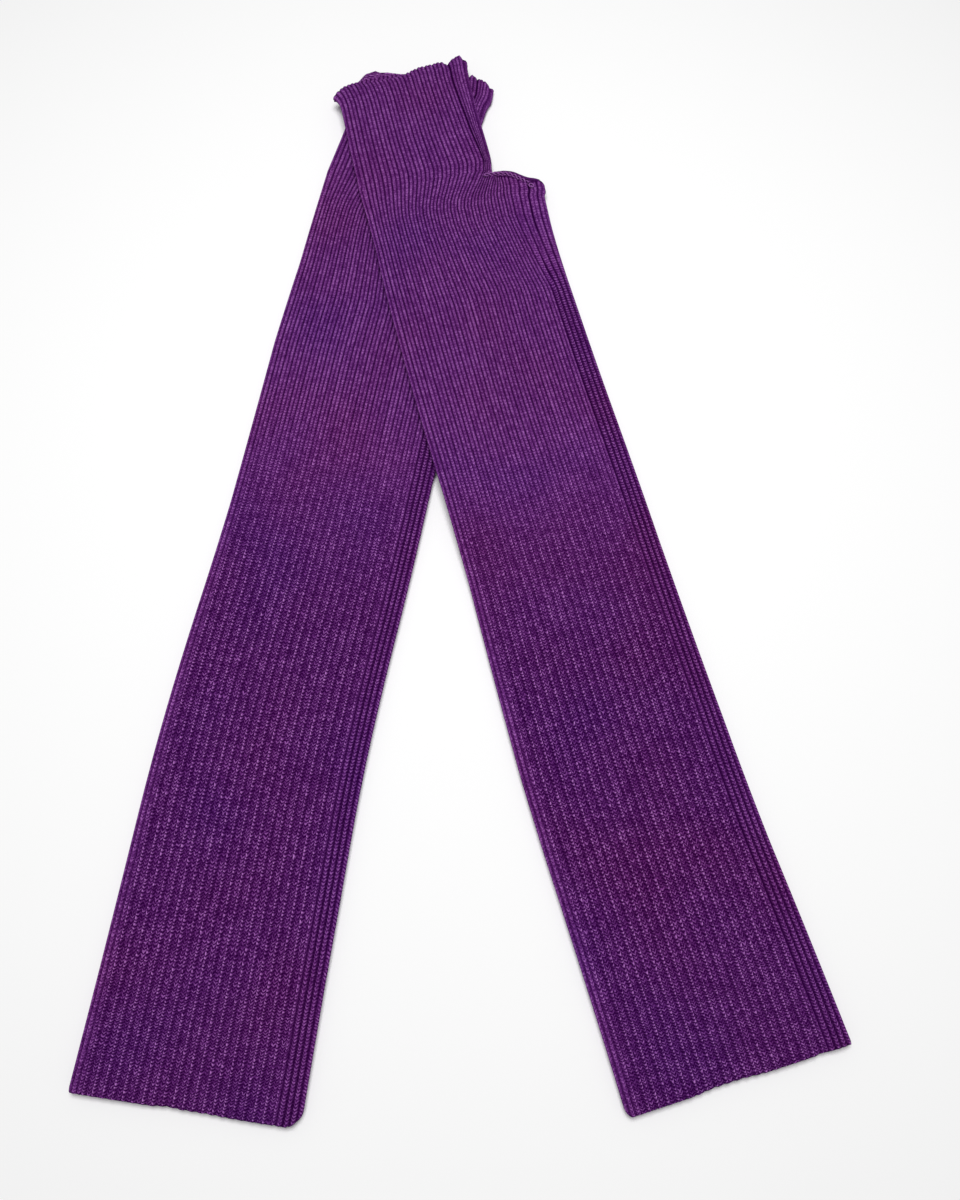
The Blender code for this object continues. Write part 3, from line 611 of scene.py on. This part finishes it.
def hand_side(sizes, u, top_v):
    """Three columns round the hand's sewn side, which bulges more the further it is from the
    thumb: v = top v + bulge cos(angle), z = radius (1 + sin(angle))."""
    radius = (sizes.groove_height + sizes.rib_height * SIDE_HEIGHT) / 2
    bulge = radius * ease((u - THUMB_AT) / SEAM_ROUNDING)
    return top_v + bulge * np.cos(SIDE_ANGLES), radius * (1 + np.sin(SIDE_ANGLES)) + 0 * u


def end_shift(warmer, sizes, v, rib, front):
    """How far the knitting reaches past its nominal length at the hand end: the layer's uneven
    line plus a scallop |sin(pi rib)| ^ 0.7 on every rib."""
    wave = np.abs(np.sin(np.pi * rib)) ** SCALLOP_POWER
    scallop = sizes.scallop * column(SCALLOP_SHARE, v, 1) * wave
    return by_layer(warmer["hand_end"], v, front) + scallop


def arm_shift(warmer, v, rib):
    """How far the arm end lies up the tube: rounded corners, radius - sqrt(radius^2 - inward^2),
    and a shallow wave |sin(pi rib)| on every rib."""
    fold, seam = both(warmer["sides"], 0.0)
    fold_corner, seam_corner = (radius * MM for radius in warmer["corners"])
    shift = -column(warmer["arm_end"], v, 1) * MM - ARM_WAVE * np.abs(np.sin(np.pi * rib))
    for reach, radius in ((v + fold, fold_corner), (seam - v, seam_corner)):
        inward = np.clip(radius - reach, 0, radius)
        shift = shift + radius - np.sqrt(radius ** 2 - inward ** 2)
    return shift


def new_object(name, data):
    """Put a new object with this mesh, light or camera into the scene."""
    made = bpy.data.objects.new(name, data)
    bpy.context.scene.collection.objects.link(made)
    return made


class Patchwork:
    """Collects points, faces and the knit coordinates of the faces' corners. The last axis of a
    grid holds a point's number and its row of stitches."""

    def __init__(self):
        self.looks = {"cavity": [], "stretch": []}
        self.points, self.faces, self.marks, self.caps, self.cap_marks = [], [], [], [], []
        self.count = 0

    def add_points(self, points, course, cavity=PLAIN_CAVITY, stretch=0.0):
        """Add points and return their grid. Cavity is how deep each lies between the ribs, from
        0 on a crest to 1 in a groove, and sets the painted shade and highlight there, and stretch
        how far open the ribs lie there."""
        shape = points.shape[:2]
        for out, look in zip(self.looks.values(), (cavity, stretch)):
            out.append(np.broadcast_to(look, shape).ravel())
        numbers = self.count + np.arange(math.prod(shape)).reshape(shape)
        self.points.append(points.reshape(-1, 3))
        self.count += numbers.size
        return np.stack([numbers, np.broadcast_to(course, shape)], axis=2)

    def cover(self, grid, ribs, offset=0.0):
        """Add a quad between every four neighbours of a grid at these rib coordinates."""
        marks = np.stack([np.broadcast_to(ribs, grid.shape[:2]) + offset, grid[..., 1]], axis=2)
        for values, out in ((grid[..., :1], self.faces), (marks, self.marks)):
            corners = [values[:-1, :-1], values[:-1, 1:], values[1:, 1:], values[1:, :-1]]
            out.append(np.stack(corners, axis=2).reshape(-1, 4 * values.shape[2]))

    def cap(self, points, mark):
        """Add one face with many corners, from points of a grid."""
        self.caps.append(points[:, 0].astype(int).tolist())
        self.cap_marks.append(np.tile(np.array(mark, float), (len(points), 1)))

    def build(self, piece, material):
        """Make the mesh object, its faces turned outwards."""
        quads = np.concatenate(self.faces).astype(int)
        mesh = bpy.data.meshes.new(piece)
        mesh.from_pydata(np.concatenate(self.points).tolist(), [], quads.tolist() + self.caps)
        uv = mesh.uv_layers.new(name="knit")
        marks = np.concatenate([np.concatenate(self.marks).reshape(-1, 2)] + self.cap_marks)
        uv.data.foreach_set("uv", marks.ravel())
        for name, values in self.looks.items():
            attribute = mesh.attributes.new(name, "FLOAT", "POINT")
            attribute.data.foreach_set("value", np.concatenate(values))
        shape = bmesh.new()
        shape.from_mesh(mesh)
        bmesh.ops.recalc_face_normals(shape, faces=shape.faces)
        if shape.calc_volume(signed=True) < 0:
            bmesh.ops.reverse_faces(shape, faces=shape.faces)
        shape.to_mesh(mesh)
        shape.free()
        mesh.shade_smooth()
        mesh.materials.append(material)
        return new_object(piece, mesh)


def laid(warmer, sizes, lift, u, v, z):
    """World points: placed on the floor, and raised by the lift map where there is one."""
    x, y = on_floor(warmer, sizes.length, u, v)
    if lift is not None:
        tall = sizes.groove_height + sizes.rib_height + sizes.clearance
        z = z + tall * read_map(lift, x, y)
    return np.stack([x, y, z], axis=-1)


def wrapped(grid):
    """Repeat the first column after the last one."""
    return np.hstack([grid, grid[:, :1]])


def knit_tube(warmer, sizes, lift, material):
    """One arm warmer as a closed wall: outer and inner skin of the sleeve and of the hand part,
    joined by rolled edges at both ends and round the thumb opening."""
    work = Patchwork()
    steps = np.arange(SLEEVE_RIBS)[:, None]
    rib = np.append(steps + np.array(FRONT_PHASES), SLEEVE_RIBS + (steps + np.array(BACK_PHASES)))
    whole = 2 * SLEEVE_RIBS
    ribs_round = np.append(rib, whole)
    thumb_first, thumb_last, wall_first, wall_last = (int(np.argmax(rib >= at)) for at in (
        HAND_RIBS - TINY, whole - HAND_RIBS - TINY, SEAM_WALL_RIB, whole - SEAM_WALL_RIB))

    def put(u, v, z):
        """World points of this arm warmer."""
        return laid(warmer, sizes, lift, u, v, z)

    def skins(stations, ribs, hand):
        """u and section of a grid of stations and rib coordinates."""
        u = np.repeat(stations[:, None], len(ribs), axis=1)
        return u, section(warmer, sizes, u, np.repeat(ribs[None, :], len(stations), axis=0), hand)

    def rolled(u, grid, angle, sign, mask):
        """Outer and inner points with the wall thinned by sin(angle) and drawn back by the lip."""
        mid_v = (grid["v"] + grid["inner_v"]) / 2
        mid_z = (grid["z"] + grid["inner_z"]) / 2
        thin = 1 - (1 - np.sin(angle)) * mask
        u = u + sign * sizes.lip * (1 - np.cos(angle)) * mask
        return [put(u, mid_v + (grid[v] - mid_v) * thin, mid_z + (grid[z] - mid_z) * thin)
                for v, z in (("v", "z"), ("inner_v", "inner_z"))]

    # Sleeve: rolled arm end
    lips = len(LIP_ANGLES)
    angles = LIP_ANGLES[:, None]
    u, arm = skins(np.zeros(lips), rib, False)
    u = u + arm_shift(warmer, arm["v"], rib)
    arm_outer, arm_inner = rolled(u, arm, angles, 1, 1)
    arm_u = u + sizes.lip * (1 - np.cos(angles))

    # Even rows, then a few that settle into the thumb's edge
    regular = np.arange(sizes.row * FIRST_ROW, THUMB_AT - sizes.row * ROWS_LEFT, sizes.row)
    settle = np.linspace(regular[-1], THUMB_AT, SETTLE_ROWS)[1:-1]
    u, body = skins(np.append(regular, settle), rib, False)
    u = u + arm_shift(warmer, body["v"], rib) * (1 - ease((u - sizes.lip) / ARM_END_REACH))
    fall = by_layer(SHELF, body["v"], body["layer"])
    body_u = u - fall * ease((u - THUMB_AT + SHELF_REACH) / SHELF_REACH)
    body_outer, body_inner = rolled(body_u, body, 0, 0, 0)

    # Thumb's edge: rolled where it is open, and the last rows close together elsewhere
    number = np.arange(len(rib))
    is_open = (number > thumb_first) & (number < thumb_last)
    _, top = skins(np.full(lips, THUMB_AT), rib, False)
    squeeze = (np.arange(lips)[:, None] - lips + 1) * LIP_SQUEEZE * sizes.lip
    top_u = shelf(top["v"], top["layer"]) + squeeze * ~is_open
    top_outer, top_inner = rolled(top_u, top, angles[::-1], -1, is_open)
    # The open edge's rolled rim gets the deepest cavity, painted in shade
    top["cavity"] = np.maximum(top["cavity"], is_open)

    looks = [np.vstack([grid[name] for grid in (arm, body, top)])
             for name in ("cavity", "stretch")]
    course, inner_course = (courses(np.maximum(np.vstack([arm_u, body_u[::step], top_u]), 0), sizes)
                            for step in (1, INNER_STEP))
    sleeve = work.add_points(np.vstack([arm_outer, body_outer, top_outer]), course, *looks)
    inside = work.add_points(np.vstack([arm_inner, body_inner[::INNER_STEP], top_inner]),
                             inner_course)
    work.cover(wrapped(sleeve), ribs_round)
    work.cover(wrapped(inside), ribs_round, HALF_RIB)
    rim = wrapped(np.stack([sleeve[0], inside[0]]))
    work.cover(rim * (1, 0), ribs_round)
    thumb = slice(thumb_first, thumb_last + 1)
    work.cover(np.stack([sleeve[-1, thumb], inside[-1, thumb]]), rib[thumb])

    # Hand part: the same columns up to the thumb, a few round its sewn side, and the back's
    rows = np.linspace(THUMB_AT, sizes.length - sizes.lip * LAST_ROW, HAND_ROWS)[1:]
    stations = np.append(rows, np.full(lips, sizes.length))
    angle = np.append(np.full(len(rows), math.pi / 2), LIP_ANGLES[::-1])[:, None]
    is_end = np.repeat([0.0, 1.0], [len(rows), lips])[:, None]

    def hand_skin(ribs):
        """u, section, outer and inner points of some of the hand part's columns."""
        u, grid = skins(stations, ribs, True)
        near_end = ease((u - sizes.length + HAND_END_REACH) / HAND_END_REACH)
        shift = end_shift(warmer, sizes, grid["v"], ribs, grid["layer"])
        u = u + shift * (near_end * (1 - is_end) + is_end)
        return u, grid, *rolled(u, grid, angle, -1, is_end)

    front_rib = rib[:thumb_first + 1]
    front_u, front, front_outer, front_inner = hand_skin(front_rib)
    back_u, back, back_outer, back_inner = hand_skin(rib[thumb_last:])
    side_v, side_z = hand_side(sizes, stations[:, None], front["v"][:, -1:])
    side_u = front_u[:, -1:] - sizes.lip * (1 - np.cos(angle)) * is_end
    middle_z = (sizes.groove_height + sizes.rib_height) / 2
    thin = 1 - (1 - np.sin(angle)) * SIDE_THINNING
    side = put(np.repeat(side_u, len(SIDE_RIBS), axis=1), side_v,
               middle_z + (side_z - middle_z) * thin)
    corner = put(np.array([[THUMB_AT]]), thumb_corner(warmer, sizes),
                 np.array([[sizes.back_wall + sizes.inner_gap / 2]]))

    wall = wall_first + 1
    inward = wall_last - thumb_last
    front_course, back_course = courses(front_u, sizes), courses(back_u, sizes)

    def under(last, *points):
        """Add points and return their grid, under the sleeve's last row of points."""
        return np.vstack([last[None], work.add_points(*points)])

    front_all = under(sleeve[-1, :thumb_first + 1], front_outer, front_course, front["cavity"])
    seam = work.add_points(side, 0)
    back_all = under(sleeve[-1, thumb_last:], back_outer, back_course, back["cavity"])
    inner_front = under(inside[-1, :wall], front_inner[:, :wall], front_course[:, :wall])
    inner_back = under(inside[-1, wall_last:], back_inner[:, inward:], back_course[:, inward:],
                       *INSIDE_LOOK)
    middle = work.add_points(corner, 0)[0]

    def along_seam(grid):
        """The same points with the rows of stitches of the front's seam edge."""
        return np.stack([grid[..., 0], np.broadcast_to(front_all[:, -1:, 1], grid.shape[:2])], 2)

    # Outer skin
    first = [[inside[-1, thumb_first], middle[0], inside[-1, thumb_last]]]
    side_all = along_seam(np.vstack([first, seam]))
    work.cover(np.hstack([front_all, side_all]), np.append(front_rib, SIDE_RIBS))
    work.cover(along_seam(np.hstack([side_all[:, -1:], back_all[:, :1]])),
               np.array([SIDE_RIBS[-1], HAND_RIBS + HALF_RIB]))
    work.cover(np.hstack([back_all, front_all[:, :1]]), ribs_round[thumb_last:])

    # Inner skin, and the wall along the hand's seam
    work.cover(np.hstack([inner_back, inner_front]),
               np.append(rib[wall_last:], whole + front_rib[:wall]), HALF_RIB)
    work.cover(along_seam(np.hstack([inner_front[:, -1:], inner_back[:, :1]])),
               np.array([SEAM_WALL_RIB, SEAM_WALL_RIB + HALF_RIB]))

    # Rim of the hand end, and the two ends of the hand's seam
    work.cover(np.stack([front_all[-1, :wall], inner_front[-1]]), front_rib[:wall])
    work.cover(np.stack([np.vstack([back_all[-1, inward:], front_all[-1, :1]]),
                         np.vstack([inner_back[-1], inner_front[-1, :1]])]),
               ribs_round[wall_last:])
    work.cap(np.vstack([front_all[-1, wall_first:], side_all[-1], back_all[-1, :inward + 1],
                        inner_back[-1, :1], inner_front[-1, -1:]]),
             (HAND_RIBS, front_all[-1, -1, 1]))
    work.cap(np.vstack([inside[-1, wall_first:thumb_first + 1], middle,
                        inside[-1, thumb_last:wall_last + 1]]),
             (HAND_RIBS, front_all[0, -1, 1]))
    return work.build(warmer["name"] + "_knit", material)


def directions(path, closed):
    """Unit vectors sideways and up along a path, which is closed or has two ends."""
    if closed:
        ahead = np.roll(path, -1, axis=0) - np.roll(path, 1, axis=0)
    else:
        ahead = np.gradient(path, axis=0)
    ahead /= np.linalg.norm(ahead, axis=1)[:, None]
    side = np.cross(ahead, np.array([0.0, 0.0, 1.0]))
    side /= np.maximum(np.linalg.norm(side, axis=1)[:, None], TINY)
    return side, np.cross(side, ahead)


def yarn_along(work, path, radius, loop, closed=False, cavity=PLAIN_CAVITY):
    """A round yarn on a path: rings path + radius (side cos(a) + up sin(a)), joined, and capped
    at both ends or closed on itself."""
    side, up = directions(path, closed)
    angle = np.linspace(0, 2 * math.pi, YARN_SIDES, endpoint=False)[None, :, None]
    turn = np.cos(angle) * side[:, None, :] + np.sin(angle) * up[:, None, :]
    grid = wrapped(work.add_points(path[:, None, :] + radius * turn,
                                   np.arange(YARN_SIDES) / YARN_SIDES, cavity))
    grid[:, -1, 1] = 1
    step = np.linalg.norm(np.diff(path, axis=0), axis=1)
    along = np.append(0, np.cumsum(step)) / loop
    if closed:
        grid = np.vstack([grid, grid[:1]])
        along = np.append(along, along[-1] + step.mean() / loop)
    else:
        work.cap(grid[0, :-1], (0, along[0]))
        work.cap(grid[-1, :-1], (0, along[-1]))
    work.cover(grid, along[:, None])


def thumb_chain(warmer, sizes, lift, material):
    """The thumb's cast-off edge. Along the front layer two strands twist into open loops: strand
    k swings sideways by sin(t + k 180 degrees) and up and down by cos(t + k 180 degrees), round
    a straight strand that fills the loops, painted dark as the shade inside them, and a small ring
    ends them. On the back layer the loops lie turned under, so that a round rim is left, painted
    darker as shade."""
    work = Patchwork()
    soft = np.full(PATH_AVERAGE, 1 / PATH_AVERAGE)
    for rows, is_front in ((CHAIN_FRONT, True), (CHAIN_BACK, False)):
        rows = np.array(rows) * MM
        v = np.linspace(rows[0, 0], rows[-1, 0], PATH_POINTS)
        u, z = (np.interp(v, rows[:, 0], rows[:, k]) for k in (1, 2))
        u = np.pad(u, PATH_AVERAGE // 2, mode="reflect", reflect_type="odd")
        line = laid(warmer, sizes, lift, np.convolve(u, soft, mode="valid"), v, z)
        at = np.append(0, np.cumsum(np.linalg.norm(np.diff(line, axis=0), axis=1)))
        periods = round(at[-1] / (2 * sizes.loop))
        fine = np.linspace(0, at[-1], periods * TWIST_POINTS)
        core = np.stack([np.interp(fine, at, line[:, k]) for k in range(3)], axis=1)
        if not is_front:
            yarn_along(work, core, RIM_RADIUS, sizes.loop, cavity=RIM_CAVITY)
            continue
        yarn_along(work, core, STRAND_RADIUS, sizes.loop, cavity=CORE_CAVITY)
        side, up = directions(core, False)
        for strand in range(2):
            phase = 2 * math.pi * (fine / at[-1] * periods + strand / 2)[:, None]
            path = core + side * STRAND_SWING * np.sin(phase) + up * STRAND_RISE * np.cos(phase)
            yarn_along(work, path, STRAND_RADIUS, sizes.loop)
    turn = np.linspace(0, 2 * math.pi, RING_POINTS, endpoint=False)
    u, v, z, radius = (value * MM for value in CHAIN_RING)
    ring = laid(warmer, sizes, lift, u + radius * np.sin(turn), v + radius * np.cos(turn),
                np.full(RING_POINTS, z))
    yarn_along(work, ring, STRAND_RADIUS, sizes.loop, closed=True)
    return work.build(warmer["chain"] + "_plait", material)


def add_node(tree, kind, inputs=None, **settings):
    """Add a node, give it its settings, and set or link its inputs by number or name."""
    made = tree.nodes.new(kind)
    for name, value in settings.items():
        setattr(made, name, value)
    for key, value in (inputs or {}).items():
        if isinstance(value, bpy.types.Node):
            value = next(socket for socket in value.outputs if socket.enabled)
        if isinstance(value, bpy.types.NodeSocket):
            tree.links.new(value, made.inputs[key])
        else:
            made.inputs[key].default_value = value
    return made


def add_chain(tree, values, steps):
    """Add a node for each step, and keep it in values under the step's name. A step is a name, a
    maths operation or one of CHAIN_NODES, and inputs, each a number or the name of a value."""
    for name, operation, *inputs in steps:
        maths = ("ShaderNodeMath", (0, 1, 2), {"operation": operation})
        kind, sockets, settings = CHAIN_NODES.get(operation, maths)
        inputs = [values.get(value, value) for value in inputs]
        values[name] = add_node(tree, kind, dict(zip(sockets, inputs)), **settings)


def new_material(name):
    """An empty node material."""
    material = bpy.data.materials.new(name)
    material.use_nodes = True
    material.node_tree.nodes.clear()
    return material, material.node_tree


def yarn_material(name, colours, looks, steps):
    """Matte spun yarn, whose steps read object coordinates, ribs and rows, and the looks named.

    Its colour follows the shade, which paints light and shade into it: 0 between stitches, 1 on
    the yarn, and on to a pale painted highlight above that, drifting a little to red and blue over
    the cloth. It is rough, with a soft sheen of fibres, and bumped by the height, or by the shade
    where no step gives a height.
    """
    material, tree = new_material(name)
    marks = add_node(tree, "ShaderNodeSeparateXYZ",
                     {0: add_node(tree, "ShaderNodeUVMap", uv_map="knit")})
    values = {"place": add_node(tree, "ShaderNodeTexCoord").outputs["Object"],
              "ribs": marks.outputs[0], "rows": marks.outputs[1]}
    for look in looks:
        values[look] = add_node(tree, "ShaderNodeAttribute", attribute_name=look).outputs["Fac"]
    add_chain(tree, values, steps + TINT_STEPS)
    # The colour runs from the painted shade through the yarn to the painted highlight
    base = (*colours.deep, 1.0)
    for share, tint, blend in (("shade", colours.yarn, "MIX"), ("red", colours.warm, "MULTIPLY"),
                               ("blue", colours.cool, "MULTIPLY"), ("painted_highlight", colours.highlight_colour, "MIX")):
        base = add_node(tree, "ShaderNodeMix", {0: values[share], 6: base, 7: (*tint, 1.0)},
                        data_type="RGBA", blend_type=blend)
    bump = add_node(tree, "ShaderNodeBump", {
        "Strength": 1.0, "Distance": YARN_BUMP, "Height": values.get("height", values["shade"])})
    shader = add_node(tree, "ShaderNodeBsdfPrincipled", {
        "Base Color": base, "Roughness": 0.9, "Normal": bump, "Specular IOR Level": 0.0,
        "Sheen Weight": 0.01, "Sheen Roughness": 0.4, "Sheen Tint": (*SHEEN, 1.0)})
    add_node(tree, "ShaderNodeOutputMaterial", {"Surface": shader})
    return material


def knit_material(colours):
    """Spun yarn knitted by machine in two-by-two rib.

    Every rib is two columns of V stitches. Each V is two slanting legs of matte, slightly hairy
    yarn, with painted light on top of the leg and painted shade where two stitches meet and between
    the columns. Where the ribs lie closed the legs run into a painted pale line along each column.
    Where they are pressed together at the seam the line breaks into beads, and where they lie
    stretched open every leg shows by itself.
    """
    return yarn_material("spun_yarn_rib_knit", colours, ("cavity", "stretch"), KNIT_STEPS)


def cast_off_material(colours):
    """The same spun yarn in strands, with painted light on the twist's ridges, painted shade
    between its plies, and more painted shade the deeper it lies inside the loops."""
    return yarn_material("spun_yarn_cast_off", colours, ("cavity",), CAST_OFF_STEPS)


def lift_over_lower(sizes):
    """The map that raises the upper arm warmer over the lower one."""
    return lift_map(edge_polygon(LOWER, sizes.length))


def declare(made, node):
    """Let a piece stand for its node and move with the root."""
    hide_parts(node)
    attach(made, "root")


class KNITTING_OT_panels(bpy.types.Operator):
    """Build both arm warmers' rib-knit panels"""

    bl_idname = "knitting.panels"
    bl_label = "Rib-knit panels"
    bl_options = {"REGISTER", "UNDO"}

    def execute(self, context):
        sizes = context.scene.knit_sizes
        material = knit_material(context.scene.knit_colours)
        lower = knit_tube(LOWER, sizes, None, material)
        upper = knit_tube(UPPER, sizes, lift_over_lower(sizes), material)
        declare(lower, LOWER["name"])
        declare(upper, UPPER["name"])
        return {"FINISHED"}


class KNITTING_OT_thumb_edges(bpy.types.Operator):
    """Build the cast-off edge of both thumb openings and let each stand for its part"""

    bl_idname = "knitting.thumb_edges"
    bl_label = "Thumb edges"
    bl_options = {"REGISTER", "UNDO"}

    def execute(self, context):
        sizes = context.scene.knit_sizes
        material = cast_off_material(context.scene.knit_colours)
        lift = lift_over_lower(sizes)
        for warmer, over, rests_on in ((LOWER, None, ("floor",)),
                                       (UPPER, lift, ("floor", LOWER["name"] + "_knit"))):
            plait = thumb_chain(warmer, sizes, over, material)
            declare(plait, warmer["chain"])
        return {"FINISHED"}


class KNITTING_OT_stage(bpy.types.Operator):
    """Set up the floor, the studio light and the camera"""

    bl_idname = "knitting.stage"
    bl_label = "Stage"
    bl_options = {"REGISTER", "UNDO"}

    def execute(self, context):
        scene = context.scene
        material, tree = new_material("pale_floor")
        shader = add_node(tree, "ShaderNodeBsdfPrincipled",
                          {"Base Color": (*scene.knit_colours.floor, 1.0), "Roughness": 0.95,
                           "Specular IOR Level": 0.1})
        add_node(tree, "ShaderNodeOutputMaterial", {"Surface": shader})
        mesh = bpy.data.meshes.new("floor")
        corners = [(x * FLOOR_HALF, y * FLOOR_HALF, -FLOOR_DROP)
                   for x, y in ((-1, -1), (1, -1), (1, 1), (-1, 1))]
        mesh.from_pydata(corners, [], [(0, 1, 2, 3)])
        mesh.materials.append(material)
        floor = new_object("floor", mesh)

        lamp = bpy.data.lights.new("studio_light", "AREA")
        lamp.shape = "SQUARE"
        lamp.size = LAMP_SIZE
        lamp.energy = LAMP_ENERGY
        light = new_object("studio_light", lamp)
        light.location = LAMP_AT
        aim = Vector((0, 0, 0)) - light.location
        light.rotation_euler = aim.to_track_quat("-Z", "Y").to_euler()

        lens = bpy.data.cameras.new("camera")
        lens.lens = LENS
        lens.sensor_width = SENSOR
        camera = new_object("camera", lens)
        camera.location = CAMERA_AT
        camera.rotation_euler = (math.radians(90 - CAMERA_PITCH), 0, 0)
        scene.camera = camera

        world = bpy.data.worlds.new("studio")
        world.use_nodes = True
        background = world.node_tree.nodes["Background"]
        background.inputs["Color"].default_value = (1, 1, 1, 1)
        background.inputs["Strength"].default_value = WORLD_LIGHT
        scene.world = world
        scene.view_settings.view_transform = "Standard"
        return {"FINISHED"}


class KNITTING_PT_panel(bpy.types.Panel):
    """Lists the sizes, the colours and the steps that build the arm warmers"""

    bl_idname = "KNITTING_PT_panel"
    bl_label = "Knitted arm warmers"
    bl_space_type = "VIEW_3D"
    bl_region_type = "UI"
    bl_category = "Knitting"

    def draw(self, context):
        for group in (context.scene.knit_sizes, context.scene.knit_colours):
            box = self.layout.box()
            for name in type(group).__annotations__:
                box.prop(group, name)
        for operator in OPERATORS:
            self.layout.operator(operator.bl_idname)


OPERATORS = (KNITTING_OT_panels, KNITTING_OT_thumb_edges, KNITTING_OT_stage)
CLASSES = (KnitSizes, KnitColours, *OPERATORS, KNITTING_PT_panel)


def register():
    for cls in CLASSES:
        bpy.utils.register_class(cls)
    bpy.types.Scene.knit_sizes = bpy.props.PointerProperty(type=KnitSizes)
    bpy.types.Scene.knit_colours = bpy.props.PointerProperty(type=KnitColours)


def unregister():
    del bpy.types.Scene.knit_colours
    del bpy.types.Scene.knit_sizes
    for cls in reversed(CLASSES):
        bpy.utils.unregister_class(cls)


def main():
    """Register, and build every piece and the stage."""
    register()
    for operator in OPERATORS:
        group, name = operator.bl_idname.split(".")
        getattr(getattr(bpy.ops, group), name)()


if __name__ == "__main__":
    main()
